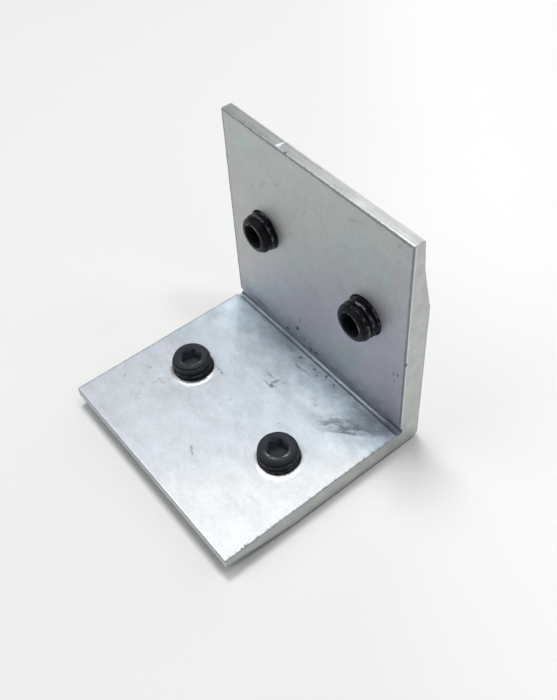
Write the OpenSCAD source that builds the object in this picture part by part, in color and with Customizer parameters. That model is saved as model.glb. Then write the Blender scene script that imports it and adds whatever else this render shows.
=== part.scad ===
// Corner bracket for a light box frame: one sawn length of extruded aluminium angle with
// tapered toes, drilled and tapped for four hex socket set screws that jam it in the frame.
// The base leg lies along -Y, the upright stands on its +Y side, and X runs along the width.
// The inner faces are flat; each leg is thinned from outside between its bend and its tip.
// Millimetres. The origin is on the underside, in the middle of the bracket's box.

/* [Angle] */
// Width of the bracket, sawn from the long extrusion
width = 38; // [31:0.5:80]
// Height of the upright leg, outside
upright_len = 40; // [34:0.5:80]
// Length of the base leg, outside
base_len = 35; // [31:0.5:80]
// Thickness of both legs beside the corner
thick = 3.7; // [2.8:0.1:6]
// Radius of the rounded outer corner
corner_r = 1.4; // [0.4:0.1:2.4]
// Radius of the relief groove along the inner corner
groove_r = 0.65; // [0.5:0.05:1]
// Depth to which the groove cuts into both inner faces
groove_depth = 0.4; // [0.2:0.05:0.6]

/* [Upright toe] */
// Length of the upright's thinned end
upright_toe = 12.5; // [9:0.5:16]
// Thickness of the upright at its tip
upright_tip = 1.8; // [1:0.1:2.6]
// Distance from the upright's tip to the bend in its toe
upright_bend_at = 5; // [2:0.5:8]
// Thickness of the upright at that bend
upright_bend = 2.15; // [1.2:0.05:2.7]

/* [Base toe] */
// Length of the base's thinned end
base_toe = 11.8; // [9:0.2:16]
// Thickness of the base at its tip
base_tip = 1.7; // [1:0.1:2.6]
// Distance from the base's tip to the bend in its toe
base_bend_at = 5; // [2:0.5:8]
// Thickness of the base at that bend
base_bend = 2.4; // [1.2:0.05:2.7]

/* [Tapped holes] */
// Distance of the holes from the sawn ends
hole_edge = 8.15; // [5:0.05:11]
// Height of the upright's left hole above the base's inner face
upright_left_at = 19; // [8:0.1:24]
// Height of the upright's right hole above the base's inner face
upright_right_at = 18.2; // [8:0.1:24]
// Distance of the base's left hole from the upright's inner face
base_left_at = 15.5; // [8:0.1:22]
// Distance of the base's right hole from the upright's inner face
base_right_at = 15.9; // [8:0.1:22]
// Depth of the small countersink at both mouths of a hole
countersink = 0.15; // [0.1:0.05:0.6]
// Radial clearance between a screw and its hole
thread_gap = 0.05; // [0.02:0.01:0.1]

/* [Set screws] */
// Nominal diameter of the screws
screw_d = 6; // [6:1:8]
// Length of the screws
screw_len = 5; // [4.5:0.5:8]
// Chamfer at both ends of a screw
screw_chamfer = 0.8; // [0.3:0.05:0.8]
// Width of the hex socket across its flats
socket_af = 3; // [2.5:0.5:3]
// Depth of the socket's six walls
socket_depth = 2.2; // [1.5:0.1:2.4]
// Width of the bevel around the socket's mouth
socket_bevel = 0.15; // [0.05:0.05:0.3]
// Diameter of the hole drilled for the socket
drill_d = 2.8; // [1.6:0.1:2.9]
// Diameter of the cup in the screw's point
cup_d = 3; // [1.5:0.1:3.2]
// How far the upright's left screw stands out of the inner face
upright_left_stand = 2.2; // [0:0.1:3]
// How far the upright's right screw stands out of the inner face
upright_right_stand = 2.7; // [0:0.1:3]
// How far the base's left screw stands out of the inner face
base_left_stand = 2.7; // [0:0.1:3]
// How far the base's right screw stands out of the inner face
base_right_stand = 2.7; // [0:0.1:3]

/* [Hidden] */
$fn = 64;
// Faces of the legs, in the bracket's frame
outer_y = base_len / 2;
inner_y = outer_y - thick;
inner_z = thick;
tip_y = outer_y - base_len;
tip_z = upright_len;
// Distance of the groove's centre from both inner faces, on their open side
groove_off = groove_r - groove_depth;
// Holes: distance of their centre lines from the middle, and their radius
hole_x = width / 2 - hole_edge;
hole_r = screw_d / 2 + thread_gap;
// Overrun of a cut past the face that it opens
cut = 1;
// Shape of a screw
screw_r = screw_d / 2;
socket_r = socket_af / 2 / cos(30);
hex_sides = 6;
// Slope of a drill's point, which also cuts the cup and the bevel at the socket's mouth
drill_slope = tan(31);

// Outline of the angle, with Y to the right and Z up
module angle_section() {
    difference() {
        polygon([
            [outer_y, 0],
            [outer_y, tip_z - upright_toe],
            [inner_y + upright_bend, tip_z - upright_bend_at],
            [inner_y + upright_tip, tip_z],
            [inner_y, tip_z],
            [inner_y, inner_z],
            [tip_y, inner_z],
            [tip_y, inner_z - base_tip],
            [tip_y + base_bend_at, inner_z - base_bend],
            [tip_y + base_toe, 0]
        ]);
        // Round the outer corner
        translate([outer_y - corner_r, corner_r])
            difference() {
                translate([0, -corner_r - cut]) square(corner_r + cut);
                circle(corner_r);
            }
        // Relief groove where the inner faces meet
        translate([inner_y - groove_off, inner_z + groove_off]) circle(groove_r);
    }
}

// Cutter for one tapped hole: its axis is Z, and the leg's inner face is at z = 0
module tapped_hole() {
    mouth_r = hole_r + countersink;
    translate([0, 0, -thick - cut]) cylinder(h = thick + 2 * cut, r = hole_r);
    translate([0, 0, -countersink])
        cylinder(h = countersink + cut, r1 = hole_r, r2 = mouth_r + cut);
    translate([0, 0, -thick - cut])
        cylinder(h = countersink + cut, r1 = mouth_r + cut, r2 = hole_r);
}

// Places its children on the inner face of the upright, with their Z axis out of that face
module on_upright(x, at, stand = 0) {
    translate([x, inner_y - stand, inner_z + at]) rotate([90, 0, 0]) children();
}

// Places its children on the inner face of the base, with their Z axis out of that face
module on_base(x, at, stand = 0) {
    translate([x, inner_y - at, inner_z + stand]) children();
}

// Set screw with its axis on Z, its socket end at z = 0 and its cup point at -screw_len
module set_screw() {
    end_r = screw_r - screw_chamfer;
    drill_r = drill_d / 2;
    bevel_r = socket_r + socket_bevel;
    bevel_depth = (bevel_r - drill_r) * drill_slope;
    cup_r = cup_d / 2;
    color("#2b2b2e") difference() {
        rotate_extrude() polygon([
            [0, 0],
            [end_r, 0],
            [screw_r, -screw_chamfer],
            [screw_r, -screw_len + screw_chamfer],
            [end_r, -screw_len],
            [cup_r, -screw_len],
            [0, -screw_len + cup_r * drill_slope]
        ]);
        // Six walls of the socket
        translate([0, 0, -socket_depth])
            linear_extrude(socket_depth + cut) circle(socket_r, $fn = hex_sides);
        // Point of the drilled hole below them, and the bevel at its mouth
        rotate_extrude() polygon([
            [0, -socket_depth - drill_r * drill_slope],
            [drill_r, -socket_depth],
            [drill_r, -bevel_depth],
            [bevel_r, 0],
            [bevel_r, cut],
            [0, cut]
        ]);
    }
}

module bracket() {
    color("#c4c8cc") difference() {
        translate([-width / 2, 0, 0])
            rotate([90, 0, 90]) linear_extrude(width) angle_section();
        on_upright(-hole_x, upright_left_at) tapped_hole();
        on_upright(hole_x, upright_right_at) tapped_hole();
        on_base(-hole_x, base_left_at) tapped_hole();
        on_base(hole_x, base_right_at) tapped_hole();
    }
}

module upright_screw_left() {
    on_upright(-hole_x, upright_left_at, upright_left_stand) set_screw();
}

module upright_screw_right() {
    on_upright(hole_x, upright_right_at, upright_right_stand) set_screw();
}

module base_screw_left() {
    on_base(-hole_x, base_left_at, base_left_stand) set_screw();
}

module base_screw_right() {
    on_base(hole_x, base_right_at, base_right_stand) set_screw();
}

bracket();
upright_screw_left();
upright_screw_right();
base_screw_left();
base_screw_right();
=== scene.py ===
# %% [markdown]
# # Corner bracket of a light box frame
# The real object is a short length of extruded aluminium angle, sawn off square, drilled and
# tapped for four black socket set screws. Two mitred frame profiles slide over its legs, and a
# hex key then jams the screws against them.
#
# The CAD model is loaded first and stays where it is. Every piece below is built around it in
# the same frame, in metres, and takes the place of one CAD node.

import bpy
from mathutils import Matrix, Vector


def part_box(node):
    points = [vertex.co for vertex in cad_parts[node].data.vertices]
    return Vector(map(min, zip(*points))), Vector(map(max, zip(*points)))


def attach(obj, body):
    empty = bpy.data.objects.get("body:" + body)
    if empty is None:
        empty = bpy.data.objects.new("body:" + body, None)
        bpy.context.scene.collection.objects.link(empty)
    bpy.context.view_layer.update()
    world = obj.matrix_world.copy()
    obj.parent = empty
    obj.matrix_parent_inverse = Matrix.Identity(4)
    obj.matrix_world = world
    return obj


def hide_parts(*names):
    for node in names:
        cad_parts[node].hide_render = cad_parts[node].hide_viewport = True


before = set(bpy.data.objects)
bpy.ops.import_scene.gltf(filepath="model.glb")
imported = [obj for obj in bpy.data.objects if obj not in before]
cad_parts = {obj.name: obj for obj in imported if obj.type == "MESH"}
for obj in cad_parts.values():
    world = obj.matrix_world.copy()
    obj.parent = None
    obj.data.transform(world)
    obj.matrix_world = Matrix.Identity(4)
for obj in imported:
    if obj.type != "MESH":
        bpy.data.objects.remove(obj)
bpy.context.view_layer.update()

# %% Modules and units
import math
from functools import partialmethod

import bmesh
import bpy
from mathutils import Matrix, Vector, noise

MM = 0.001
scene = bpy.context.scene
scene.view_settings.view_transform = "Standard"


def linked(name, data):
    """A new object of the scene that shows this data."""
    made = bpy.data.objects.new(name, data)
    scene.collection.objects.link(made)
    return made


def object_from(built, name):
    """An object with the mesh that was built, at the origin."""
    mesh = bpy.data.meshes.new(name)
    built.to_mesh(mesh)
    built.free()
    return linked(name, mesh)


print("one unit is a metre, and a millimetre is", MM)

# %% [markdown]
# ## Camera
# The photograph was taken from close by, about 14 cm away, so the near corner of the base looks
# much larger than the far end of the upright. A camera can be set by eye or worked out from
# known corners. Here it comes from the corners of the two legs and the outlines of the screws,
# with a small roll because the photographer held the camera a little askew.

# %% Camera
CAMERA_AT = Vector((71.7, -43.9, 112.13)) * MM
CAMERA_AIM = Vector((-3.13, 11.83, 12.0)) * MM
CAMERA_ROLL = math.radians(3.317)
CAMERA_LENS = 47.109
CAMERA_SENSOR = 36.0
CAMERA_SHIFT = (-0.0167, -0.0494)
CAMERA_CLIP = (0.01, 20.0)


def make_camera():
    """A camera at CAMERA_AT that looks at CAMERA_AIM, rolled a little to its right."""
    ahead = (CAMERA_AIM - CAMERA_AT).normalized()
    level_right = ahead.cross(Vector((0, 0, 1))).normalized()
    level_up = level_right.cross(ahead)
    up = level_up * math.cos(CAMERA_ROLL) + level_right * math.sin(CAMERA_ROLL)
    right = ahead.cross(up)
    data = bpy.data.cameras.new("photo_camera")
    data.lens = CAMERA_LENS
    data.sensor_width = CAMERA_SENSOR
    data.shift_x, data.shift_y = CAMERA_SHIFT
    data.clip_start, data.clip_end = CAMERA_CLIP
    camera = linked("photo_camera", data)
    turn = Matrix((right, up, -ahead)).transposed().to_4x4()
    camera.matrix_world = Matrix.Translation(CAMERA_AT) @ turn
    return camera


scene.camera = make_camera()
print("camera is", round((CAMERA_AIM - CAMERA_AT).length / MM), "mm from what it looks at")

# %% [markdown]
# ## Nodes as arithmetic
# Materials and Geometry Nodes are both trees of nodes. Adding and linking each node by hand
# hides the idea behind a formula, so one small class wraps a socket: arithmetic on it adds Math
# nodes, and its `node` method adds any other node. Sockets are named by their identifiers,
# because some nodes, such as Mix, have several sockets of the same name.

# %% Wires


class Wire:
    """An output socket of a node tree. Arithmetic on it adds Math nodes to the tree."""

    def __init__(self, tree, socket=None):
        self.tree = tree
        self.socket = socket

    def node(self, kind, sockets=None, output=None, **settings):
        """Adds a node: its settings first, then its sockets, and gives back one output."""
        made = self.tree.nodes.new(kind)
        for name, value in settings.items():
            setattr(made, name, value)
        for identifier, value in (sockets or {}).items():
            target = next(s for s in made.inputs if s.identifier == identifier)
            links = value if isinstance(value, list) else [value]
            for link in links:
                if isinstance(link, Wire):
                    self.tree.links.new(link.socket, target)
                else:
                    target.default_value = link
        if not made.outputs:
            return None
        if output is None:
            return Wire(self.tree, made.outputs[0])
        return Wire(self.tree, next(s for s in made.outputs if s.identifier == output))

    def math(self, operation, *values):
        """A Math node on this wire and the values after it."""
        sockets = dict(zip(("Value", "Value_001", "Value_002"), (self, *values)))
        return self.node("ShaderNodeMath", sockets, operation=operation)

    def vector(self, operation, *values, output=None):
        """A Vector Math node on this wire and the values after it."""
        sockets = dict(zip(("Vector", "Vector_001", "Vector_002"), (self, *values)))
        return self.node("ShaderNodeVectorMath", sockets, output, operation=operation)

    def __rsub__(self, other):
        return (self * -1.0).math("ADD", other)

    __add__ = __radd__ = partialmethod(math, "ADD")
    __sub__ = partialmethod(math, "SUBTRACT")
    __mul__ = __rmul__ = partialmethod(math, "MULTIPLY")
    __truediv__ = partialmethod(math, "DIVIDE")
    __pow__ = partialmethod(math, "POWER")
    __abs__ = partialmethod(math, "ABSOLUTE")

    def clamp(self):
        return self.math("MINIMUM", 1.0).math("MAXIMUM", 0.0)


# %% Helpers on wires


def parts(vector):
    """The X, Y and Z of a vector wire."""
    split = vector.node("ShaderNodeSeparateXYZ", {"Vector": vector}, "X")
    return [Wire(vector.tree, socket) for socket in split.socket.node.outputs]


def joined(x, y, z):
    """A vector wire from three values, at least one of which is a wire."""
    wire = next(value for value in (x, y, z) if isinstance(value, Wire))
    return wire.node("ShaderNodeCombineXYZ", {"X": x, "Y": y, "Z": z})


def ramp(value, low, high):
    """0 below low and 1 above high, or the other way round where high is the lower one."""
    sockets = {"Value": value, "From Min": low, "From Max": high}
    return value.node("ShaderNodeMapRange", sockets, interpolation_type="SMOOTHSTEP")


def most(first, *others):
    """The greatest of several wires at each place."""
    for other in others:
        first = first.math("MAXIMUM", other)
    return first


def stretched(vector, x, y, z):
    """A vector wire with each of its axes scaled."""
    return vector.vector("MULTIPLY", (x, y, z))


def cloudy(vector, size, detail=3.0, roughness=0.55):
    """Noise from 0 to 1 with blotches of this size, in the vector's own units."""
    sockets = {"Vector": vector, "Scale": 1.0 / size, "Detail": detail, "Roughness": roughness}
    return vector.node("ShaderNodeTexNoise", sockets)


def cloudy_vector(vector, size):
    """Three noises as one vector, each from about -0.5 to 0.5."""
    sockets = {"Vector": vector, "Scale": 1.0 / size, "Detail": 3.0}
    return vector.node("ShaderNodeTexNoise", sockets, "Color").vector("SUBTRACT", (0.5, 0.5, 0.5))


def scaled(wire, factor):
    """A vector wire times one value; a colour gets darker, or lighter where that is above 1."""
    sockets = {"Vector": wire, "Scale": factor}
    return wire.node("ShaderNodeVectorMath", sockets, operation="SCALE")


def tinted(factor, first, second):
    """The first colour where factor is 0, the second where it is 1."""
    sockets = {"Factor_Float": factor, "A_Color": first, "B_Color": second}
    return factor.node("ShaderNodeMix", sockets, "Result_Color", data_type="RGBA")


def grey(value, warm=0.0):
    """An opaque grey as a colour, a little warmer or, below zero, a little bluer."""
    return (value * (1 + warm), value, value * (1 - warm), 1.0)


print("node helpers are ready")

# %% [markdown]
# ## Sizes
# The box of the CAD node gives the outer sizes, and the other sizes repeat those of the part's
# source. They are in millimetres, like a workshop drawing, and are scaled to metres at the end.

# %% Sizes of the angle
low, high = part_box("bracket")
half_width = high.x / MM
outer_y = high.y / MM
tip_y = low.y / MM
tip_z = high.z / MM
THICK = 3.7
inner_y = outer_y - THICK
inner_z = THICK
UPRIGHT_TOE = 12.5
UPRIGHT_TIP = 1.8
BASE_TOE = 11.8
BASE_TIP = 1.7
BEND_AT = 5.0
UPRIGHT_BEND = 2.15
BASE_BEND = 2.4
CORNER_R = 1.4
GROOVE_R = 0.65
GROOVE_DEPTH = 0.4

# %% Places of the holes
UPRIGHT_SCREWS = ("upright_screw_left", "upright_screw_right")
BASE_SCREWS = ("base_screw_left", "base_screw_right")


def mouth_of(node):
    """Where a screw's axis meets the inner face of its leg, in millimetres."""
    corner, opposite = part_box(node)
    place = (corner + opposite) / 2 / MM
    if node in UPRIGHT_SCREWS:
        place.y = inner_y
    else:
        place.z = inner_z
    return place


mouths = {node: mouth_of(node) for node in UPRIGHT_SCREWS + BASE_SCREWS}
print("angle is", 2 * half_width, "wide and", tip_z, "high")
print("holes at", {node: tuple(round(v, 2) for v in place) for node, place in mouths.items()})

# %% [markdown]
# ## Finishes
# Mill finish aluminium is bare metal as it left the extrusion die. It is a blurred mirror, so most
# of what it shows is the light around it. The material adds what handling has left, small marks
# and dark hairlines along the sawn edges, and darker streaks along the corner and in the groove.
# It also paints light and shade: the upright's shadow on the base, a lit front and right end of the
# base, a tip face shaded on the left and lit on the right, a shaded underside and tints in place of
# reflected colour. An image could be painted for this. Masks worked out in millimetres from Object
# coordinates do the same at any resolution, and each can be read as one line of arithmetic.

# %% Starting a material


def start_material(name):
    """A new material with an empty tree: the material and a wire to build from."""
    material = bpy.data.materials.new(name)
    material.use_nodes = True
    material.node_tree.nodes.clear()
    return material, Wire(material.node_tree)


def finished(material, sockets):
    """The material with a Principled shader that has these sockets at its tree's end."""
    end = Wire(material.node_tree)
    shader = end.node("ShaderNodeBsdfPrincipled", sockets)
    end.node("ShaderNodeOutputMaterial", {"Surface": shader})
    return material


def in_millimetres(start):
    """Object coordinates as a vector wire, in millimetres."""
    return scaled(start.node("ShaderNodeTexCoord", None, "Object"), 1.0 / MM)


def carried(start, name):
    """A value that the mesh itself carries as an attribute."""
    return start.node("ShaderNodeAttribute", None, "Fac", attribute_name=name)


def bumped(height, distance):
    """A normal from a height wire; distance is how far a height of 1 stands up, in metres."""
    return height.node("ShaderNodeBump", {"Height": height, "Distance": distance})


# %% Legs laid out flat


def unrolled(place):
    """Both inner faces as one flat sheet: X stays, and Y is 0 in the corner and grows upwards."""
    x, y, z = parts(place)
    return joined(x, y + z - (inner_y + inner_z), 0.0)


def ragged(flat, size, reach):
    """A sheet whose points are shifted about, so that what is drawn on it gets ragged edges."""
    shift = cloudy_vector(flat, size)
    return shift.vector("MULTIPLY_ADD", (reach, reach, 0.0), flat)


def mark(flat, x, y, half_length, half_breadth, turn):
    """1 inside a long soft spot on the sheet, 0 outside it."""
    local = flat.node("ShaderNodeMapping", {
        "Vector": flat,
        "Location": (x, y, 0.0),
        "Rotation": (0.0, 0.0, math.radians(turn)),
        "Scale": (half_length, half_breadth, 1.0),
    }, vector_type="TEXTURE")
    return ramp(local.vector("LENGTH", output="Value"), 1.0, 0.2)


# %% Marks of handling
# Each mark: X, Y on the sheet, half length, half width, turn in degrees, darkness
MARKS = [
    (0, -8.7, 0.7, 0.5, 0, 0.95),
    (-0.6, -8.75, 1.8, 0.28, 0, 0.6),
    (-0.1, -7.7, 1.2, 0.36, 80, 0.65),
    (-1.7, -7.5, 1.3, 0.34, 5, 0.45),
    (0.9, -6.9, 0.6, 0.22, 25, 0.3),
    (0.4, -3.1, 2.4, 0.3, 4, 0.4),
    (-0.4, -3.2, 1.2, 0.3, -20, 0.4),
    (-1.4, -1.8, 0.4, 0.35, 60, 0.6),
    (4.2, -1.2, 0.5, 0.35, -40, 0.6),
    (3.1, -2.1, 0.4, 0.25, 20, 0.4),
    (-3.5, -1.7, 0.8, 0.3, 0, 0.3),
    (-0.3, -8.2, 0.45, 0.4, 30, 0.6),
    (0.7, -8.3, 0.35, 0.3, 0, 0.5),
    (1.9, -1.6, 0.45, 0.35, 10, 0.6),
    (6.1, -1.4, 0.5, 0.3, -20, 0.5),
    (7.4, -6, 0.5, 0.22, 15, 0.28),
    (-7.8, -12.75, 1.8, 0.22, -4, 0.48),
    (-6.9, -12.9, 0.5, 0.26, -10, 0.8),
    (6.2, -12.2, 0.35, 0.22, 40, 0.4),
    (-1.9, -14.9, 0.4, 0.28, 45, 0.25),
    (-2.1, -16.7, 0.6, 0.25, 25, 0.2),
    (2.3, -14.7, 0.8, 0.22, 55, 0.2),
    (-15.2, -20.7, 0.6, 0.35, 20, 0.35),
    (-11.9, -20.8, 1.4, 0.4, 0, 0.3),
    (-12.1, -21.7, 0.9, 0.28, 70, 0.25),
    (-16.3, -24.4, 0.4, 0.3, 20, 0.5),
    (-11.2, -25.2, 0.55, 0.25, 35, 0.28),
    (-13.2, -23.3, 0.9, 0.22, 10, 0.2),
    (1.5, -24.4, 0.9, 0.32, -40, 0.62),
    (2.2, -24.8, 0.7, 0.28, -20, 0.5),
    (14, -22.8, 2.2, 0.4, 10, 0.14),
    (-3.4, 5.5, 0.75, 0.4, 70, 0.6),
    (-4.1, 3.2, 0.8, 0.48, 60, 0.95),
    (-1.1, 0.9, 0.95, 0.5, 50, 1),
    (0.3, 1, 0.75, 0.55, 60, 1),
    (-6.8, 0.9, 0.85, 0.42, 55, 0.85),
    (-2.4, 2.1, 0.4, 0.3, 20, 0.7),
    (-13.5, 1.5, 4.6, 0.9, -4, 0.35),
    (6.5, 1.3, 8, 0.45, -2, 0.25),
    (17.7, 11.9, 0.6, 0.36, 70, 0.65),
    (16.9, 11.4, 0.7, 0.32, 80, 0.42),
    (17.1, 10.2, 0.7, 0.32, 85, 0.42),
    (-1.3, 28.5, 0.7, 0.35, 55, 0.28),
    (2.2, 29.9, 0.5, 0.35, 50, 0.22),
    (-3.1, 28, 0.8, 0.3, 60, 0.15),
    (-10.6, 27.6, 2, 0.5, 50, 0.16),
    (-7.4, 29.5, 1.2, 0.5, 25, 0.16),
    (-13, 25.9, 1.2, 0.4, 40, 0.14),
    (8.4, 33.5, 1.5, 0.4, 20, 0.16),
    (16.4, 34.6, 0.8, 0.45, 50, 0.26),
    (16.7, 32.2, 0.7, 0.3, 60, 0.18),
    (-1.9, 24.3, 1.6, 0.35, 5, 0.12),
    (7.8, 5.8, 0.8, 0.3, 55, 0.16),
    (11.5, 8.4, 1.4, 0.6, -60, 0.12),
]


def darkness(flat):
    """How much the marks darken the metal, from 0 to 1; the darkest mark at a place counts."""
    return most(*[mark(flat, *spot) * depth for *spot, depth in MARKS])


# %% Painted shadow and darker places in the corner


def groove_places(place):
    """Distance from the middle line of the groove, and how far to one side of its deepest line."""
    off = GROOVE_R - GROOVE_DEPTH
    x, y, z = parts(place)
    across = y - (inner_y - off)
    above = z - (inner_z + off)
    return (across * across + above * above) ** 0.5, (across + above) * math.sqrt(0.5)


def within_groove(away):
    """1 on the groove's own surface, 0 on the legs beside it."""
    return ramp(away, GROOVE_R + 0.06, GROOVE_R + 0.01)


def groove_darkening(place):
    """Darker along the deepest line and both edges of the groove, darkest at its right end."""
    x, y, z = parts(place)
    away, aside = groove_places(place)
    uneven = (cloudy(place, 0.9, 4.0) - 0.5) * 0.6
    within = within_groove(away)
    from_deepest = abs(aside + 0.03) + uneven * 0.4
    inside = within * (0.08 + ramp(from_deepest, 0.32, 0.12) * 0.66)
    beside = ramp(away + uneven, 1.5, 0.9) * ramp(away, GROOVE_R - 0.08, GROOVE_R + 0.04) * 0.12
    darker_right_end = ramp(away + uneven, 1.15, 0.8) * 0.18 + within * ramp(from_deepest, 0.50, 0.30) * 0.58
    darker_right_end = darker_right_end * ramp(x, half_width - 4.2, half_width - 2.6)
    return most(inside, beside, darker_right_end)


def corner_shadow_and_streaks(sheet):
    """Painted upright shadow on the base, narrowing away from it; darker streaks along the corner."""
    x, up, zero = parts(sheet)
    from_left = x + up * 1.1 + half_width
    from_right = half_width + 1.5 - x + up
    streaks = ramp(cloudy(joined((x + up) * 0.35, x - up, 0.0), 1.5, 5.0, 0.62), 0.34, 0.60)
    # inside: the outline of the painted shadow on the base, between its left and right edges
    inside = ramp(from_left, -0.6, 1.6) * ramp(from_right, -0.3, 0.8) * ramp(up, 0.0, -0.4)
    painted_shadow = inside * ramp(up, -9.0, -8.2) * (0.04 + streaks * 0.08)
    # last: a darker band of painted shadow along the shadow's right edge
    last = inside * ramp(from_right, 6.5, 1.5) * ramp(up, -2.0, -4.4) * ramp(up, -8.8, -6.4)
    first = ramp(up, -3.6, -1.6) * ramp(up, -0.6, -1.6) * ramp(x, -9.0, -2.0)
    first = first * (0.05 + streaks * 0.26)
    above = ramp(up, 5.5, 1.2) * ramp(up, 0.7, 1.6) * (0.08 + streaks * 0.20)
    return (painted_shadow + last * (0.10 + streaks * 0.62) + first + above).clamp()


# %% Hairlines along the edges


def edge_lines(place):
    """Dark hairlines and torn places along the edges, and painted shade on the base's underside."""
    x, y, z = parts(place)
    uneven = (cloudy(place, 0.45, 3.0) - 0.5) * 0.5
    side = half_width - abs(x) + uneven
    below_tip = tip_z - z + uneven
    beside = ramp(side, 0.50, 0.20) * 0.55
    below = ramp(below_tip, 0.62, 0.40) * ramp(below_tip, 0.02, 0.16) * 0.62
    on_upright = ramp(y, inner_y + 0.30, inner_y + 0.12) * ramp(z, inner_z + 0.8, inner_z + 1.8)
    upright = most(beside, below) * on_upright
    depth = inner_z - z + uneven * 0.5
    hairline = ramp(depth, 0.02, 0.14) * ramp(depth, 0.50, 0.34) * 0.50
    front = most(hairline, ramp(depth, 0.9, 1.5) * 0.45) * ramp(y, tip_y + 0.35, tip_y + 0.15)
    on_base = ramp(z, inner_z - 0.3, inner_z - 0.1) * ramp(y, inner_y, inner_y - 1.0)
    left = ramp(x + half_width + uneven, 0.40, 0.15) * 0.40
    torn = ramp(cloudy(stretched(place, 0.0, 1.0, 0.0), 0.9, 3.0), 0.46, 0.60) * 0.42
    right = ramp(half_width - x + uneven * 1.6, 0.45, 0.12) * torn
    base = most(left, right) * on_base
    # The raised underside is painted darker as shade, which also darkens the gap beneath it
    underside_shade = ramp(z, 1.95, 1.60) * ramp(y, outer_y - 0.8, outer_y - 1.8) * 0.45
    return most(upright, front, base, underside_shade)


# %% Mill finish
# Tints painted by place stand in for reflected colour; the lighter front and right-end tints are
# painted light
PAINTED_FRONT_LIGHT_TINT = (0.550, 0.580, 0.622, 1.0)
PAINTED_LIGHT_TINT = (0.608, 0.630, 0.645, 1.0)
BASE_TINT = (0.510, 0.566, 0.614, 1.0)
CORNER_PAINTED_REFLECTION_TINT = (0.560, 0.650, 0.720, 1.0)
RUBBED_TINT = (0.740, 0.820, 0.870, 1.0)
UPPER_TINT = (0.554, 0.566, 0.560, 1.0)
LOWER_TINT = (0.580, 0.568, 0.628, 1.0)
GREEN_TINT = (0.522, 0.582, 0.576, 1.0)
# The dark colour of marks and dirt, used also for painted shadow and shade
SOIL_AND_SHADE = (0.10, 0.12, 0.15, 1.0)
# Each painted greenish reflection on the upright: X, Y on the sheet, half length, half width, turn in
# degrees
GREEN_PATCHES = [
    (-2.9, 18.4, 7.0, 2.2, 40),
    (8.5, 29.0, 6.0, 4.0, 80),
    (7.0, 6.5, 5.5, 4.5, 30),
    (-13.0, 5.0, 5.5, 3.0, 10),
]
POLISHED = (0.82, 0.84, 0.86, 1.0)
# The tip face is painted from shade at its left end to light at its right
TIP_PAINTED_SHADE = (0.51, 0.52, 0.53, 1.0)
TIP_PAINTED_LIGHT = (0.76, 0.77, 0.77, 1.0)


def metal_tint_with_painted_reflection(flat):
    """Painted reflections on the metal: bluish base with lit front and right end, greener upright."""
    x, up, zero = parts(flat)
    slow = cloudy(flat, 9.0, 2.0)
    across = up - x * 0.55 + (slow - 0.5) * 14.0
    upright = tinted(ramp(across, 8.0, 26.0), LOWER_TINT, UPPER_TINT)
    greenish = ramp(slow, 0.54, 0.70) * ramp(across, 6.0, 14.0)
    for patch in GREEN_PATCHES:
        greenish = most(greenish, mark(flat, *patch) * (0.6 + slow * 0.6))
    base = tinted(ramp(up, -24.0, -8.0), PAINTED_FRONT_LIGHT_TINT, BASE_TINT)
    base = tinted(ramp(x - up * 0.6, 16.0, 26.0), base, PAINTED_LIGHT_TINT)
    base = tinted(ramp(up, -8.0, -3.0), base, CORNER_PAINTED_REFLECTION_TINT)
    return tinted(ramp(up, 0.4, -0.4), tinted(greenish, upright, GREEN_TINT), base)


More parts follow.
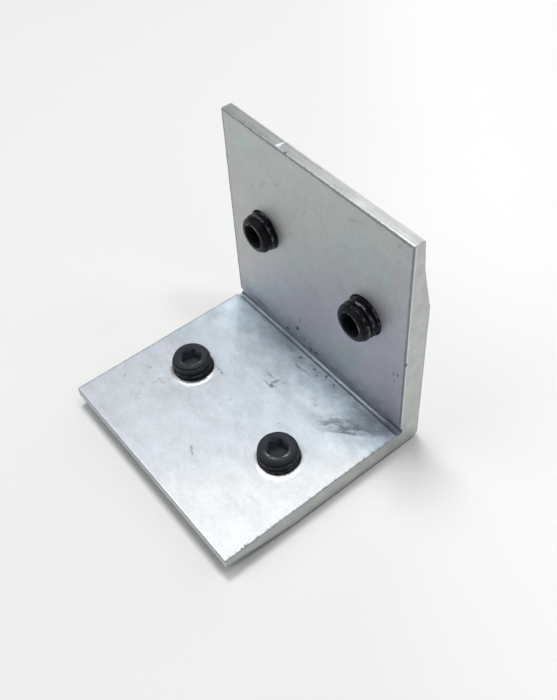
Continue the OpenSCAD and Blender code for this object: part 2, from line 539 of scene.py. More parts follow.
def mill_finish():
    material, start = start_material("mill_finish_aluminium")
    place = in_millimetres(start)
    flat = unrolled(place)
    x, up, zero = parts(flat)
    edge = carried(start, "edge")
    die_lines = cloudy(stretched(place, 0.02, 1.0, 1.0), 0.35, 4.0)
    mottle = cloudy(stretched(flat, 0.7, 1.0, 1.0), 2.6, 6.0, 0.66)
    grains = cloudy(place, 0.35, 3.0)
    near_corner = ramp(up, -11.0, -5.0) * ramp(up, 3.5, -0.5)
    # A triangle of painted light on the base, left of the upright's painted shadow
    painted_lit_triangle = ramp(x + up * 1.1 + half_width, 0.5, -1.5)
    painted_lit_triangle = painted_lit_triangle * ramp(up, -13.0, -8.0) * ramp(up, 0.0, -1.0)
    contrast = 0.32 + ramp(up, 1.0, -1.0) * 0.25 + near_corner * 0.6
    tone = 1.0 + painted_lit_triangle * 0.14 + (mottle - 0.5) * contrast + (grains - 0.5) * 0.26
    sheet = ragged(flat, 2.2, 1.6)
    rubbed = mark(sheet, 7.0, -5.4, 6.5, 2.6, 8) * ramp(mottle, 0.38, 0.60) * 0.55
    metal = tinted(rubbed, scaled(metal_tint_with_painted_reflection(flat), tone), RUBBED_TINT)
    marks = darkness(ragged(flat, 0.7, 0.7)) * (0.5 + grains * 0.7)
    # Painted shadow in the corner, with darker streaks and marks of handling
    soil_and_shade = corner_shadow_and_streaks(sheet) * (0.35 + mottle * 1.3) + marks
    soil_and_shade = most(soil_and_shade, groove_darkening(place), edge_lines(place))
    on_tip = ramp(parts(place)[2], tip_z - 0.10, tip_z - 0.02)
    # Painted shade on the left of the tip face and painted light on its right
    tip_painted_gradient = tinted(ramp(x, -14.0, 16.0), TIP_PAINTED_SHADE, TIP_PAINTED_LIGHT)
    away, aside = groove_places(place)
    lower_flank = within_groove(away) * ramp(abs(aside + 0.38), 0.22, 0.08) * ramp(soil_and_shade, 0.70, 0.50)
    smooth = edge * 0.15 + on_tip * 0.10 + lower_flank * 0.10
    tip_metal_painted_light = scaled(tip_painted_gradient, tone + (die_lines - 0.5) * 0.5)
    marked = tinted(soil_and_shade.clamp(), tinted(on_tip, metal, tip_metal_painted_light), SOIL_AND_SHADE)
    return finished(material, {
        "Base Color": tinted(edge * (1.0 - soil_and_shade.clamp()) * 0.5, marked, POLISHED),
        "Metallic": 1.0,
        "Roughness": 0.53 + die_lines * 0.06 + (mottle - 0.5) * 0.10 - smooth,
        "Normal": bumped(die_lines * 0.5 + grains * 0.5, 0.000006),
    })


# %% Sawn ends
SAWN_DARK = (0.385, 0.40, 0.39, 1.0)
SAWN_BRIGHT = (0.73, 0.74, 0.72, 1.0)


def sawn_face():
    material, start = start_material("sawn_aluminium")
    place = in_millimetres(start)
    x, y, z = parts(place)
    blade = cloudy(stretched(place, 1.0, 0.35, 2.2), 0.7, 4.0)
    blotches = cloudy(place, 2.4, 5.0, 0.62)
    grains = cloudy(place, 0.4, 3.0)
    value = (blade * 0.35 + blotches * 0.75 + grains * 0.25 - 0.17).clamp()
    metal = tinted(value, SAWN_DARK, SAWN_BRIGHT)
    uneven = (grains - 0.5) * 0.3
    burr = ramp(y - inner_y + uneven, 0.45, 0.15) * ramp(z, inner_z + 0.5, inner_z + 1.5) * 0.6
    rim = ramp(outer_y - y + uneven, 0.35, 0.10) * 0.35
    on_base = ramp(y, inner_y - 0.3, inner_y - 1.3)
    rim = most(rim, ramp(inner_z - z + uneven, 0.35, 0.10) * on_base * 0.35)
    # The lower edge of the sawn end is painted darker, as shade where it meets and rises off the table
    underside = most((tip_y + BASE_TOE - y) * ((inner_z - BASE_TIP) / BASE_TOE), 0.0)
    rim = most(rim, ramp(z - underside + uneven, 0.9, 0.1) * 0.45)
    metal = scaled(metal, 1.0 - on_base * 0.06)
    return finished(material, {
        "Base Color": tinted(rim, tinted(burr, metal, POLISHED), SOIL_AND_SHADE),
        "Metallic": 1.0,
        "Roughness": 0.50 + grains * 0.12,
        "Normal": bumped(blade * 0.7 + grains * 0.5, 0.00004),
    })


# %% Tapped thread


def cut_thread():
    material, start = start_material("tapped_aluminium")
    place = in_millimetres(start)
    grains = cloudy(place, 0.25, 3.0)
    return finished(material, {
        "Base Color": tinted(grains, grey(0.62), grey(0.78)),
        "Metallic": 1.0,
        "Roughness": 0.28 + grains * 0.12,
        "Normal": bumped(grains, 0.00001),
    })


# %% Black oxide
OILY_DARK = (0.002, 0.002, 0.003, 1.0)
OILY_BRIGHT = (0.005, 0.005, 0.008, 1.0)
DUSTY_DARK = (0.024, 0.028, 0.035, 1.0)
DUSTY_BRIGHT = (0.050, 0.056, 0.066, 1.0)


def black_oxide():
    material, start = start_material("black_oxide_steel")
    place = in_millimetres(start)
    worn, deep, dust, wall = [carried(start, name) for name in ("worn", "deep", "dust", "wall")]
    cloud = cloudy(place, 0.5, 4.0)
    grains = cloudy(place, 0.18, 3.0)
    flecks = ramp(cloudy(place, 0.9, 3.0), 0.44, 0.60)
    # rubbed: worn thread crests, and the painted highlight on the socket's rim
    rubbed = (worn * flecks).clamp()
    oily = tinted(cloud, OILY_DARK, OILY_BRIGHT)
    dusty = tinted(cloud, DUSTY_DARK, DUSTY_BRIGHT)
    # Inside the socket, most of all on its walls, the dusty oxide is painted lighter as painted light
    oxide = scaled(tinted(dust, oily, dusty), 1.0 + dust * (deep * 0.35 + wall * 1.3))
    return finished(material, {
        "Base Color": tinted(rubbed, oxide, grey(0.30, -0.04)),
        "Metallic": rubbed,
        "Roughness": 0.14 + dust * 0.20 + cloud * 0.24 + deep * 0.30,
        "Specular IOR Level": 0.12,
        "Normal": bumped((grains * 0.4 + cloud * 0.6) * (2.0 - dust), 0.00008),
    })


# %% Make the finishes
mill = mill_finish()
sawn = sawn_face()
tapped = cut_thread()
black = black_oxide()
print("finishes:", [material.name for material in (mill, sawn, tapped, black)])

# %% [markdown]
# ## Section of the angle
# An extrusion has one section all along its length, so the bracket starts as an outline in the
# YZ plane. Each corner is given with the radius that the die or years of handling left on it, and
# a short arc replaces it. The relief groove in the inner corner is part of a circle.

# %% Outline


def arc(centre, radius, start, stop, steps):
    """Points along an arc about a centre, with its angles in degrees."""
    made = []
    for step in range(steps + 1):
        angle = math.radians(start + (stop - start) * step / steps)
        made.append(centre + radius * Vector((math.cos(angle), math.sin(angle))))
    return made


def rounded(before, corner, after, radius, steps=5):
    """Points of the arc of this radius that replaces a corner."""
    back = (before - corner).normalized()
    on = (after - corner).normalized()
    half = back.angle(on) / 2
    centre = corner + (back + on).normalized() * radius / math.sin(half)
    touch = radius / math.tan(half)
    first = corner + back * touch - centre
    last = corner + on * touch - centre
    start = math.degrees(math.atan2(first.y, first.x))
    sweep = math.degrees(math.atan2(first.x * last.y - first.y * last.x, first.dot(last)))
    return arc(centre, radius, start, start + sweep, steps)


def groove_points():
    """The relief groove, from its edge on the upright round to its edge on the base."""
    off = GROOVE_R - GROOVE_DEPTH
    opening = math.degrees(math.acos(off / GROOVE_R))
    centre = Vector((inner_y - off, inner_z + off))
    return arc(centre, GROOVE_R, opening, -90 - opening, 16)


# %% Corners and their radii
CORNERS = [
    (outer_y, 0.0, CORNER_R),
    (outer_y, tip_z - UPRIGHT_TOE, 1.5),
    (inner_y + UPRIGHT_BEND, tip_z - BEND_AT, 8.0),
    (inner_y + UPRIGHT_TIP, tip_z, 0.25),
    (inner_y, tip_z, 0.22),
    (inner_y, inner_z, None),
    (tip_y, inner_z, 0.20),
    (tip_y, inner_z - BASE_TIP, 0.25),
    (tip_y + BEND_AT, inner_z - BASE_BEND, 8.0),
    (tip_y + BASE_TOE, 0.0, 1.5),
]
EDGE_RADIUS = 0.5
SUPPORT = 0.06
FLAT_STEP = 1.2


def outline():
    """The section as (point, worn) pairs: worn is 1 on sharp edges and 0 on the flats."""
    stretches = []
    places = [Vector(corner[:2]) for corner in CORNERS]
    for index, (y, z, radius) in enumerate(CORNERS):
        if radius is None:
            stretches.append([(point, 0.0) for point in groove_points()])
            continue
        before = places[index - 1]
        after = places[(index + 1) % len(places)]
        worn = 1.0 if radius < EDGE_RADIUS else 0.0
        points = rounded(before, places[index], after, radius)
        stretches.append([(point, worn) for point in points])
    made = []
    for index, stretch in enumerate(stretches):
        made.extend(stretch)
        start = stretch[-1][0]
        stop = stretches[(index + 1) % len(stretches)][0][0]
        run = (stop - start).length
        count = max(1, round((run - 2 * SUPPORT) / FLAT_STEP))
        for step in range(count + 1):
            along = SUPPORT + (run - 2 * SUPPORT) * step / count
            made.append((start.lerp(stop, along / run), 0.0))
    return made


section = outline()
print("section has", len(section), "points")

# %% [markdown]
# ## Bracket
# The section is swept along X in short steps, so that the edges can waver a little, as a die and
# a saw leave them. At both ends a narrow ragged bevel stands for the burr of the saw. A plain
# Bevel modifier would make it too even, so each point gets its own width from a noise function.

# %% Sweep the section
RING_STEP = 0.35
BURR = 0.09
BURR_VARIES = 0.06
BURR_NOISE = 1.7
BURR_STEP = 9
WAVER = 0.02
WAVER_ALONG = 0.35
WAVER_AROUND = 0.25


def inward_normals(points):
    """Unit vectors into the metal, one for each point of the section."""
    made = []
    for index, point in enumerate(points):
        along = points[(index + 1) % len(points)] - points[index - 1]
        made.append(Vector((-along.y, along.x)).normalized())
    return made


def waver(x, point):
    """A small smooth offset that differs along the length and around the section."""
    around = point * WAVER_AROUND
    return WAVER * noise.noise(Vector((x * WAVER_ALONG, around.x, around.y)))


def swept_angle():
    """The whole length of angle as a mesh, with no holes yet."""
    points = [point for point, worn in section]
    inward = inward_normals(points)
    worn_edges = [worn for point, worn in section]
    count = round(2 * half_width / RING_STEP)
    rings = []
    for step in range(count + 1):
        side = 2.0 * step / count - 1.0
        ring = []
        for point, into, worn in zip(points, inward, worn_edges):
            place = Vector((side * BURR_STEP, point.x, point.y)) * BURR_NOISE
            burr = BURR + BURR_VARIES * noise.noise(place)
            x = side * (half_width - burr)
            dent = abs(waver(x, point)) * worn
            ring.append((x, *(point + into * dent)))
        rings.append(ring)
    for side, ring in ((-1, rings[0]), (1, rings[-1])):
        end = []
        for (x, y, z), into in zip(ring, inward):
            burr = half_width - abs(x)
            end.append((side * half_width, y + into.x * burr, z + into.y * burr))
        rings.insert(0 if side < 0 else len(rings), end)
    return rings, worn_edges


def angle_object():
    """The swept angle as an object, with its worn edges as an attribute."""
    rings, worn_edges = swept_angle()
    built = bmesh.new()
    layer = built.verts.layers.float.new("edge")
    grid = []
    for ring in rings:
        row = [built.verts.new(Vector(place) * MM) for place in ring]
        for vert, worn in zip(row, worn_edges):
            vert[layer] = worn
        grid.append(row)
    size = len(worn_edges)
    for near, far in zip(grid, grid[1:]):
        for index in range(size):
            after = (index + 1) % size
            built.faces.new((near[index], near[after], far[after], far[index]))
    built.faces.new(list(reversed(grid[0])))
    built.faces.new(grid[-1])
    return object_from(built, "bracket_angle")


angle = angle_object()
print("swept angle has", len(angle.data.polygons), "faces")

# %% [markdown]
# ## Screw thread
# A thread is a profile wound round an axis. It could be made with a Screw modifier, but a
# Geometry Nodes tree keeps its sizes as named inputs and serves both the screws and the tapped
# holes. A flat grid is rolled up: its columns go round, its rows climb one pitch per turn, and
# the row's place in the pitch gives the radius. Beyond the two ends every point is drawn to the
# axis, which closes the shape.

# %% Trees with named inputs


def new_tree(name, inputs):
    """A Geometry Nodes tree with these inputs: a wire to build from, and one for each input."""
    tree = bpy.data.node_groups.new(name, "GeometryNodeTree")
    for label, kind in inputs.items():
        tree.interface.new_socket(label, in_out="INPUT", socket_type=kind)
    tree.interface.new_socket("Geometry", in_out="OUTPUT", socket_type="NodeSocketGeometry")
    entry = tree.nodes.new("NodeGroupInput")
    return Wire(tree), {socket.name: Wire(tree, socket) for socket in entry.outputs if socket.name}


def inputs_of(tree):
    """The identifier of each named input of a tree."""
    items = tree.interface.items_tree
    return {item.name: item.identifier for item in items if item.in_out == "INPUT"}


def end_tree(geometry):
    """Sends a geometry wire to its tree's output."""
    exit_node = geometry.tree.nodes.new("NodeGroupOutput")
    geometry.tree.links.new(geometry.socket, exit_node.inputs[0])


# %% Threaded rod
SEGMENTS = 96
ROWS_PER_PITCH = 16
SPARE_PITCHES = 4
PITCHES_BELOW = 3.0
BEYOND_ENDS = 0.9
CREST_END = 0.25
ROOT_START = 0.85
FLOAT = "NodeSocketFloat"
VECTOR = "NodeSocketVector"
GEOMETRY = "NodeSocketGeometry"


def threaded_rod_tree():
    """A rod along Z from -Length to 0, and a little beyond both ends, with a rounded thread."""
    names = {"Crest": FLOAT, "Depth": FLOAT, "Pitch": FLOAT, "Length": FLOAT}
    start, size = new_tree("threaded rod", names)
    turns = (size["Length"] / size["Pitch"]).math("CEIL") + SPARE_PITCHES
    grid = start.node("GeometryNodeMeshGrid", {
        "Size X": 1.0,
        "Size Y": 1.0,
        "Vertices X": SEGMENTS + 1,
        "Vertices Y": (turns * ROWS_PER_PITCH + 1.0).math("ROUND"),
    })
    across, along, flat = parts(start.node("GeometryNodeInputPosition"))
    around = across + 0.5
    climbed = (along + 0.5) * turns
    height = (climbed + around - PITCHES_BELOW) * size["Pitch"] - size["Length"]
    to_root = abs(climbed.math("FRACT") - 0.5) * 2.0
    radius = size["Crest"] - size["Depth"] * ramp(to_root, CREST_END, ROOT_START)
    top = size["Pitch"] * BEYOND_ENDS
    foot = size["Length"] * -1.0 - top
    above = height.math("GREATER_THAN", top)
    below = height.math("LESS_THAN", foot)
    inside = 1.0 - above - below
    level = height * inside + top * above + foot * below
    turn = around * math.tau
    reach = radius * inside
    place = joined(turn.math("COSINE") * reach, turn.math("SINE") * reach, level)
    rolled = start.node("GeometryNodeSetPosition", {"Geometry": grid, "Position": place})
    end_tree(start.node("GeometryNodeMergeByDistance", {
        "Geometry": rolled,
        "Distance": 0.001 * MM,
    }))
    return start.tree


thread = threaded_rod_tree()
print("thread tree has", len(thread.nodes), "nodes")


def threaded_rod(start, crest, depth, pitch, length):
    """The thread tree as one node of another tree."""
    values = {"Crest": crest, "Depth": depth, "Pitch": pitch, "Length": length}
    names = inputs_of(thread)
    sockets = {names[label]: value for label, value in values.items()}
    return start.node("GeometryNodeGroup", sockets, node_tree=thread)


# %% Cutters shared by the next trees


def moved(geometry, place=(0, 0, 0), turn=(0, 0, 0), scale=(1, 1, 1)):
    """A geometry wire put somewhere else."""
    return geometry.node("GeometryNodeTransform", {
        "Geometry": geometry,
        "Translation": place,
        "Rotation": turn,
        "Scale": scale,
    })


def cone(start, foot_z, foot_r, top_z, top_r):
    """A closed cone about the Z axis between two levels, which are wires."""
    sockets = {"Vertices": SEGMENTS, "Radius Bottom": foot_r, "Radius Top": top_r}
    sockets["Depth"] = top_z - foot_z
    made = start.node("GeometryNodeMeshCone", sockets, "Mesh", fill_type="NGON")
    return moved(made, joined(0.0, 0.0, foot_z))


def prism(start, sides, radius, depth):
    """A closed bar with so many sides along the Z axis, with its middle at the origin."""
    sockets = {"Vertices": sides, "Radius": radius, "Depth": depth}
    return start.node("GeometryNodeMeshCylinder", sockets, "Mesh", fill_type="NGON")


def cut(start, operation, first, others):
    """An exact boolean of one geometry wire and several others."""
    sockets = {"Mesh 2": [first, *others]}
    if operation == "DIFFERENCE":
        sockets = {"Mesh 1": first, "Mesh 2": others}
    return start.node("GeometryNodeMeshBoolean", sockets, operation=operation, solver="MANIFOLD")


def plain_mesh(holder, name, crease):
    """The evaluated result of a holder's modifiers; edges above the crease angle stay sharp."""
    ready = holder.evaluated_get(bpy.context.evaluated_depsgraph_get())
    mesh = bpy.data.meshes.new_from_object(ready)
    holder.modifiers.clear()
    holder.data = mesh
    holder.name = name
    mesh.name = name
    mesh.shade_smooth()
    mesh.set_sharp_from_angle(angle=math.radians(crease))
    mesh.calc_loop_triangles()
    print(name, "has", len(mesh.loop_triangles), "triangles")
    return holder


# %% [markdown]
# ## Holes, nicks and finishes of the bracket
# The holes are drilled, countersunk and tapped after sawing, so the tree cuts them out of the
# swept angle: two points on each leg carry the same cutters. The thread in the holes is cut a
# little wide, so that a screw can slide past it when its joint moves. Small wedges then bite
# the nicks that handling has left on the edges.

# %% Nicks
WEDGE = 1.0
WEDGE_SPREAD = math.tan(math.radians(30))
# Each nick: a point on the edge, the way into the metal, the way along it, half width, depth, length
NICKS = [
    ((-6.6, inner_y, tip_z), (0.34, 0.0, -0.94), (-0.12, 1.0, 0.14), 0.28, 0.26, 8.0),
    ((-4.9, inner_y, tip_z), (0.0, 0.7, -1.0), (0.2, 1.0, 0.7), 0.26, 0.22, 1.0),
    ((-half_width, inner_y, tip_z), (1.0, 1.0, -1.0), (1.0, -1.0, 0.0), 1.10, 0.34, 3.0),
    ((-half_width, inner_y + 1.0, tip_z), (1.0, 0.0, -1.0), (0.0, 1.0, 0.0), 0.85, 0.30, 4.0),
    ((-half_width, inner_y + UPRIGHT_TIP, tip_z), (1.0, -1.0, -1.0), (1.0, 1.0, 0.0), 1.10, 0.40, 3.0),
    ((half_width, inner_y, 18.7), (-0.78, 0.62, -0.35), (0.62, 0.78, 0.0), 0.42, 0.32, 2.0),
]
# Ticks that the saw tore out of the base's right edge: Y and depth
SAW_TICKS = [
    (-14.7, 0.30), (-14.1, 0.34), (-12.1, 0.18), (-9.1, 0.22), (-5.3, 0.18), (-1.9, 0.20), (1.9, 0.16),
]
TICK_INTO = (-0.94, 0.0, -0.35)
TICK_ALONG = (-0.35, 0.06, 0.94)
for tick_y, tick_depth in SAW_TICKS:
    tick_at = (half_width, tick_y, inner_z)
    NICKS.append((tick_at, TICK_INTO, TICK_ALONG, tick_depth * 0.8, tick_depth, 3.0))


def wedge(start, place, into, along, half, depth, length):
    """A three-sided bar along an axis, whose sharp edge bites this deep at a place on an edge."""
    axis = Vector(along).normalized()
    into = Vector(into)
    into = (into - axis * into.dot(axis)).normalized()
    side = axis.cross(into)
    turn = Matrix((into, side, axis)).transposed().to_euler()
    bar = prism(start, 3, WEDGE * MM, length * MM)
    spread = half / depth / WEDGE_SPREAD
    return moved(bar, (Vector(place) + into * (depth - WEDGE)) * MM, turn, (1, spread, 1))


# %% Drill, tap and finish
UPRIGHT_TURN = (math.pi / 2, 0, 0)
BASE_TURN = (0, 0, 0)
ACROSS_UPRIGHT = (1, 0, 1)
ACROSS_BASE = (1, 1, 0)
PITCH = 1.0
HOLE_SIZES = {
    "Hole Radius": 3.05,
    "Thread Depth": 0.25,
    "Pitch": PITCH,
    "Countersink": 0.15,
    "Thickness": THICK,
    "Lip Height": 0.12,
    "Lip Foot": 0.42,
    "Lip Top": -0.15,
    "Tapped Reach": 1.00,
}
HOLE_PLACES = ("Upright Left", "Upright Right", "Base Left", "Base Right")
LIP_LEAN = (0.26, -0.10, 0.0)
OVERSHOOT = 1.0
NOT_FLAT = 0.995
SQUARE_ON = 0.9
END_SKIN = 0.02


def at_two_places(start, tools, first, second, turn):
    """Each tool at two places, which are the two points of a line."""
    gap = second.vector("SUBTRACT", first)
    sockets = {"Count": 2, "Start Location": first, "Offset": gap}
    line = start.node("GeometryNodeMeshLine", sockets)
    made = []
    for tool in tools:
        sockets = {"Points": line, "Instance": tool, "Rotation": turn}
        made.append(start.node("GeometryNodeInstanceOnPoints", sockets))
    return made


def near_axis(place, mouth, across, reach):
    """1 where a point is within reach of a hole's axis; across keeps the axes that cross it."""
    apart = place.vector("SUBTRACT", mouth)
    away = stretched(apart, *across).vector("LENGTH", output="Value")
    deep = parts(stretched(apart, *(1 - axis for axis in across)))
    off_face = abs(deep[1]) + abs(deep[2])
    return away.math("LESS_THAN", reach) * off_face.math("LESS_THAN", 2 * THICK * MM)


def bracket_tree():
    """Cuts the holes and nicks out of an angle and gives each face its finish."""
    names = {"Angle": GEOMETRY, "Lip Lean": VECTOR}
    names.update({label: VECTOR for label in HOLE_PLACES})
    names.update({label: FLOAT for label in HOLE_SIZES})
    start, size = new_tree("drill, tap and finish", names)
    radius = size["Hole Radius"]
    sink = size["Countersink"]
    deep = size["Thickness"]
    over = OVERSHOOT * MM
    rod = threaded_rod(start, radius + size["Thread Depth"], size["Thread Depth"], size["Pitch"], deep)
    sinker = cone(start, deep * -1.0 - over, radius + sink + over, sink - deep, radius)
    lip_height = size["Lip Height"]
    lip_foot = radius + size["Lip Foot"] + (size["Lip Foot"] - size["Lip Top"])
    lip = cone(start, lip_height * -1.0, lip_foot, lip_height, radius + size["Lip Top"])
    lip = moved(lip, size["Lip Lean"])
    legs = [
        (size["Upright Left"], size["Upright Right"], UPRIGHT_TURN, ACROSS_UPRIGHT),
        (size["Base Left"], size["Base Right"], BASE_TURN, ACROSS_BASE),
    ]
    lips = at_two_places(start, [lip], size["Base Left"], size["Base Right"], BASE_TURN)
    tools = [wedge(start, *nick) for nick in NICKS]
    for left, right, turn, across in legs:
        tools += at_two_places(start, [rod, sinker], left, right, turn)
    raised = cut(start, "UNION", size["Angle"], lips)
    drilled = cut(start, "DIFFERENCE", raised, tools)
    place = start.node("GeometryNodeInputPosition")
    facing = [abs(part) for part in parts(start.node("GeometryNodeInputNormal"))]
    at_end = abs(parts(place)[0]).math("GREATER_THAN", (half_width - END_SKIN) * MM)
    is_sawn = facing[0].math("GREATER_THAN", SQUARE_ON) * at_end
    is_tapped = facing[0] * 0.0
    for left, right, turn, across in legs:
        tilted = facing[1 + across[1]].math("LESS_THAN", NOT_FLAT)
        for mouth in (left, right):
            near = near_axis(place, mouth, across, radius + size["Tapped Reach"])
            is_tapped = is_tapped + near * tilted
    whole = start.node("GeometryNodeRealizeInstances", {"Geometry": drilled})
    for material, selection in ((mill, True), (sawn, is_sawn), (tapped, is_tapped)):
        sockets = {"Geometry": whole, "Selection": selection, "Material": material}
        whole = start.node("GeometryNodeSetMaterial", sockets)
    end_tree(whole)
    return start.tree


# %% Make the bracket


def set_inputs(holder, tree, values):
    """Adds a Geometry Nodes modifier and sets its inputs before it is first evaluated."""
    modifier = holder.modifiers.new(tree.name, "NODES")
    modifier.node_group = tree
    for label, identifier in inputs_of(tree).items():
        if label in values:
            modifier[identifier] = values[label]


finishing = bracket_tree()
hole_values = {label: size * MM for label, size in HOLE_SIZES.items()}
hole_values["Lip Lean"] = Vector(LIP_LEAN) * MM
for label, node in zip(HOLE_PLACES, UPRIGHT_SCREWS + BASE_SCREWS):
    hole_values[label] = mouths[node] * MM
set_inputs(angle, finishing, hole_values)
BRACKET_CREASE = 22
bracket = plain_mesh(angle, "bracket_angle", BRACKET_CREASE)

# %% [markdown]
# ## Set screws
# A set screw is a short threaded rod with rounded shoulders, a hex socket pressed into one end
# and a cup in the other. The tree winds the thread, trims it with cones that touch the round of
# the shoulder, and presses the socket and the cup into it. One tree makes all four screws: only
# place, direction and twist differ, because each was turned in by a different amount.

# %% Screw tree
SCREW_SIZES = {
    "Diameter": 6.0,
    "Length": 5.0,
    "Pitch": PITCH,
    "Thread Depth": 0.38,
    "Shoulder Width": 0.80,
    "Shoulder Height": 1.2,
    "Socket Width": 3.0,
    "Socket Depth": 2.2,
    "Socket Bevel": 0.15,
    "Drill Width": 2.8,
    "Cup Width": 3.0,
}
TRAITS = ("Twist", "Painted Highlight Side", "Painted Highlight", "Dust")
SHOULDER_ANGLES = (15.0, 30.0, 45.0, 60.0, 75.0)
DRILL_SLOPE = math.tan(math.radians(31))
MOUTH_SLOPE = math.tan(math.radians(58))
HEX_REACH = 1 / math.cos(math.radians(30))
OVERLAP = 0.05 * MM
MOUTH_OVER = 0.3 * MM
CUP_OVER = 0.2 * MM


def shoulder_cones(start, radius, length, width, height):
    """Cones that touch the rounded shoulders, quarters of an ellipse, at both ends of a rod."""
    core = radius - width
    made = []
    for degrees in SHOULDER_ANGLES:
        slope = math.sin(math.radians(degrees))
        spread = math.cos(math.radians(degrees))
        narrow = core + width * ((1 - slope) / spread)
        wide = narrow + length / height * width * (slope / spread)
        made.append(cone(start, length * -1.0, wide, length * 0.0, narrow))
        made.append(cone(start, length * -1.0, narrow, length * 0.0, wide))
    return made


def socket_cutters(start, width, depth, bevel, drill):
    """The hex socket, the drill point under it and the bevel round its mouth."""
    reach = width * (HEX_REACH / 2)
    hexagon = prism(start, 6, reach, depth * 2.0)
    drill_r = drill / 2.0
    floor_z = depth * -1.0 + OVERLAP
    wide = drill_r + OVERLAP / DRILL_SLOPE
    point = cone(start, depth * -1.0 - drill_r * DRILL_SLOPE, 0.0, floor_z, wide)
    mouth_r = reach + bevel
    foot_z = (mouth_r - drill_r) * -MOUTH_SLOPE
    over_r = mouth_r + MOUTH_OVER / MOUTH_SLOPE
    mouth = cone(start, foot_z, drill_r, foot_z * 0.0 + MOUTH_OVER, over_r)
    return [hexagon, point, mouth]


def cup_cutter(start, length, width):
    """The cone that hollows the screw's point."""
    cup_r = width / 2.0
    end_z = length * -1.0
    foot_r = cup_r + CUP_OVER / DRILL_SLOPE
    return cone(start, end_z - CUP_OVER, foot_r, end_z + cup_r * DRILL_SLOPE, 0.0)


def wear_and_painted_light(start, radius, mouth_r, depth, side, strength, dust):
    """Values from 0 to 1: bright worn crests and a painted rim highlight, the socket's inside, dust,
    its walls.
    """
    x, y, z = parts(start.node("GeometryNodeInputPosition"))
    out = (x * x + y * y) ** 0.5
    crest = ramp(out, radius - 0.10 * MM, radius) * (0.75 - dust * 0.45)
    toward = (x * side.math("COSINE") + y * side.math("SINE")) / out
    # ring: a painted highlight on the socket's rim, on the side that faces Side
    ring = ramp(abs(out - mouth_r), 0.15 * MM, 0.05 * MM) * ramp(z, -0.20 * MM, -0.05 * MM)
    worn = most(crest, ring * ramp(toward, 0.25, 0.75) * strength)
    deep = ramp(out, mouth_r - 0.01 * MM, mouth_r - 0.05 * MM) * ramp(z, -0.05 * MM, -0.15 * MM)
    # The socket's walls, where painted light is laid on
    wall = deep * ramp(z + depth, 0.2 * MM, 0.5 * MM)
    return {"worn": worn, "deep": deep, "dust": dust, "wall": wall}


def set_screw_tree():
    """One set screw: socket end at Place, axis turned by Turn."""
    names = {label: FLOAT for label in (*SCREW_SIZES, *TRAITS)}
    names.update({"Place": VECTOR, "Turn": VECTOR})
    start, size = new_tree("socket set screw", names)
    radius = size["Diameter"] / 2.0
    length = size["Length"]
    rod = threaded_rod(start, radius, size["Thread Depth"], size["Pitch"], length)
    height = size["Shoulder Height"]
    cones = shoulder_cones(start, radius, length, size["Shoulder Width"], height)
    trimmed = cut(start, "INTERSECT", rod, cones)
    tools = socket_cutters(start, size["Socket Width"], size["Socket Depth"],
                           size["Socket Bevel"], size["Drill Width"])
    tools.append(cup_cutter(start, length, size["Cup Width"]))
    pressed = cut(start, "DIFFERENCE", trimmed, tools)
    rim_r = size["Socket Width"] * (HEX_REACH / 2) + size["Socket Bevel"]
    side = size["Painted Highlight Side"] - size["Twist"]
    highlight_strength = size["Painted Highlight"]
    values = wear_and_painted_light(start, radius, rim_r, size["Socket Depth"], side, highlight_strength, size["Dust"])
    for label, value in values.items():
        sockets = {"Geometry": pressed, "Name": label, "Value": value}
        domain = "FACE" if label == "wall" else "POINT"
        store = "GeometryNodeStoreNamedAttribute"
        pressed = start.node(store, sockets, data_type="FLOAT", domain=domain)
    twisted = moved(pressed, turn=joined(0.0, 0.0, size["Twist"]))
    placed = moved(twisted, size["Place"], size["Turn"])
    whole = start.node("GeometryNodeRealizeInstances", {"Geometry": placed})
    end_tree(start.node("GeometryNodeSetMaterial", {"Geometry": whole, "Material": black}))
    return start.tree


screw_tree = set_screw_tree()
print("screw tree has", len(screw_tree.nodes), "nodes")

# %% Four screws
# For each screw: its twist and the side of its rim's painted highlight in degrees, the highlight's
# strength, its dust
SCREW_CREASE = 35
TURNED = {
    "upright_screw_left": (20.0, 80.0, 0.7, 0.15),
    "upright_screw_right": (140.0, 55.0, 1.0, 0.10),
    "base_screw_left": (75.0, -35.0, 0.5, 1.0),
    "base_screw_right": (250.0, -35.0, 1.0, 1.0),
}


def make_screw(node, twist, highlight_side, highlight_strength, dust):
    """One screw whose socket end is where its CAD node ends."""
    near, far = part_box(node)
    in_upright = node in UPRIGHT_SCREWS
    place = mouths[node] * MM
    if in_upright:
        place.y = near.y
    else:
        place.z = far.z
    holder = linked(node, bpy.data.meshes.new(node))
    values = {label: size * MM for label, size in SCREW_SIZES.items()}
    values.update(zip(TRAITS, (math.radians(twist), math.radians(highlight_side), highlight_strength, dust)))
    values["Place"] = place
    values["Turn"] = UPRIGHT_TURN if in_upright else BASE_TURN
    set_inputs(holder, screw_tree, values)
    return plain_mesh(holder, "set_" + node, SCREW_CREASE)


screws = {node: make_screw(node, *turned) for node, turned in TURNED.items()}

# %% [markdown]
# ## Pieces and bodies
# Each piece takes the place of its CAD node and moves with that node's body.

# %% Ride on the frame
for piece, body, slot in [(bracket, "bracket", "aluminium")] + [
        (screw, node, "black_screw") for node, screw in screws.items()]:
    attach(piece, body)
    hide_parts(body)

# %% [markdown]
# ## Floor and light
# The bracket stands on a plain pale table in a bright room. Bare metal shows what is around it, so
# one lamp is not enough: a wall that is missing leaves a black face. The room is made of round
# soft lamps, each in the direction of a lamp, the ceiling or a wall. The main lamp is nearly
# overhead and brightens the base. A smaller one behind the upright throws its shadow on the base,
# which a painted shadow in the aluminium's colour deepens. Painted light makes the table paler to
# the bracket's right.
#
# The lamps are close, so the table would fade into the dark further out. More light would spoil
# the metal, so the far table and the room behind it are painted pale for the rays that the camera
# and the reflections send out, and give off no light of their own.

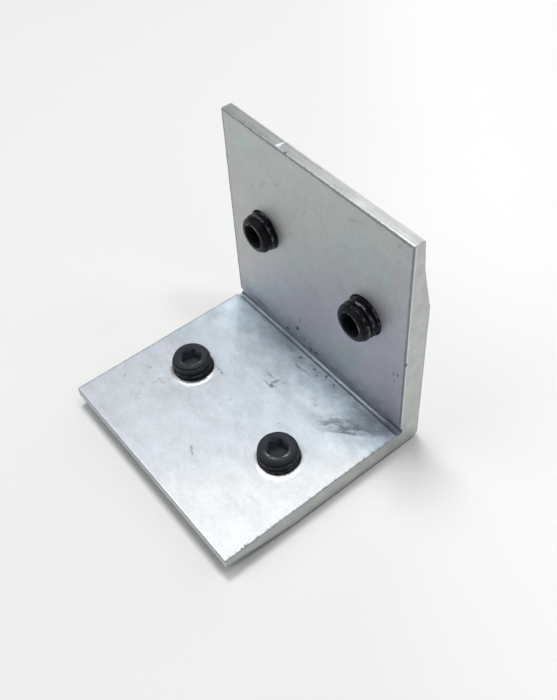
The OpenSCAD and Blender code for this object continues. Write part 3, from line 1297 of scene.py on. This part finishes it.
# %% Floor
FLOOR_SIZE = 40.0
FLOOR_GAP = 0.02
FAR_START = 0.15
FAR_END = 0.30
PALE = (0.87, 0.885, 0.87, 1.0)
TABLE = (0.85, 0.86, 0.85, 1.0)
# Painted light: the table is paler towards the bracket's right
PAINTED_LIGHT_TABLE = (0.935, 0.94, 0.935, 1.0)
BRIGHT_START = 0.01
BRIGHT_END = 0.05
RIGHT_X = 0.6
RIGHT_Y = 0.8


def seen_directly(start):
    """1 for a ray from the camera, from a reflection or through glass, 0 for one of plain light."""
    names = ("Is Camera Ray", "Is Glossy Ray", "Is Transmission Ray")
    return most(*[start.node("ShaderNodeLightPath", None, name) for name in names])


def make_table_finish():
    """Pale, with painted light to the bracket's right; far from it the table is as pale as the room.
    """
    material, start = start_material("pale_table")
    place = start.node("ShaderNodeTexCoord", None, "Object")
    x, y, z = parts(place)
    rightward = x * RIGHT_X + y * RIGHT_Y
    paint = tinted(ramp(rightward, BRIGHT_START, BRIGHT_END), TABLE, PAINTED_LIGHT_TABLE)
    near = start.node("ShaderNodeBsdfPrincipled", {"Base Color": paint, "Roughness": 0.6})
    far = start.node("ShaderNodeEmission", {"Color": PALE})
    away = place.vector("LENGTH", output="Value")
    share = ramp(away, FAR_START, FAR_END) * seen_directly(start)
    sockets = {"Fac": share, "Shader": near, "Shader_001": far}
    mixed = start.node("ShaderNodeMixShader", sockets)
    start.node("ShaderNodeOutputMaterial", {"Surface": mixed})
    return material


def make_floor():
    built = bmesh.new()
    bmesh.ops.create_grid(built, x_segments=1, y_segments=1, size=FLOOR_SIZE / 2)
    bmesh.ops.translate(built, verts=built.verts, vec=(0, 0, -FLOOR_GAP * MM))
    floor = object_from(built, "table_top")
    floor.data.materials.append(make_table_finish())


make_floor()

# %% Light
LAMP_DISTANCE = 0.6
LAMP_FOCUS = Vector((0, 0, 0.015))
# Each lamp: its direction from the bracket as azimuth from +Y and elevation, the angle from its
# middle to its rim, all in degrees, and its power in watts
LAMPS = {
    "main_lamp": (295, 76, 8, 1.69),
    "ceiling": (0, 90, 32, 0.19),
    "ceiling_middle": (0, 90, 18, 0.51),
    "ceiling_behind": (0, 82, 8, 0.13),
    "ceiling_left": (250, 65, 12, 0.10),
    "ceiling_right": (90, 62, 12, 0.08),
    "window": (45, 70.5, 3, 0.36),
    "back_right_wall": (36, 45, 12, 0.34),
    "front_left_wall": (216, 45, 25, 0.98),
    "back_wall": (0, 20, 15, 0.49),
    "back_left_wall": (320, 20, 15, 0.37),
    "right_wall": (90, 40, 15, 0.24),
}


def make_lamp(name, azimuth, elevation, half_angle, power):
    turn = math.radians(azimuth)
    tilt = math.radians(elevation)
    level = math.cos(tilt)
    direction = Vector((level * math.sin(turn), level * math.cos(turn), math.sin(tilt)))
    data = bpy.data.lights.new(name, "AREA")
    data.shape = "DISK"
    data.size = 2 * LAMP_DISTANCE * math.tan(math.radians(half_angle))
    data.energy = power
    lamp = linked(name, data)
    lamp.location = LAMP_FOCUS + direction * LAMP_DISTANCE
    lamp.rotation_euler = (-direction).to_track_quat("-Z", "Y").to_euler()


for name, values in LAMPS.items():
    make_lamp(name, *values)
print("lamps:", list(LAMPS))

# %% Room
BACKDROP_TOP = 0.12


def make_room():
    """A world that gives no light: the camera sees it pale, and reflections do near the table."""
    world = bpy.data.worlds.new("room")
    world.use_nodes = True
    world.node_tree.nodes.clear()
    start = Wire(world.node_tree)
    upward = parts(start.node("ShaderNodeTexCoord", None, "Generated"))[2]
    low = ramp(upward, BACKDROP_TOP, 0.0)
    by_camera = start.node("ShaderNodeLightPath", None, "Is Camera Ray")
    strength = most(by_camera, seen_directly(start) * low)
    paint = start.node("ShaderNodeBackground", {"Color": PALE, "Strength": strength})
    start.node("ShaderNodeOutputWorld", {"Surface": paint})
    return world


scene.world = make_room()
print("room is pale up to", BACKDROP_TOP, "of the way up in reflections")
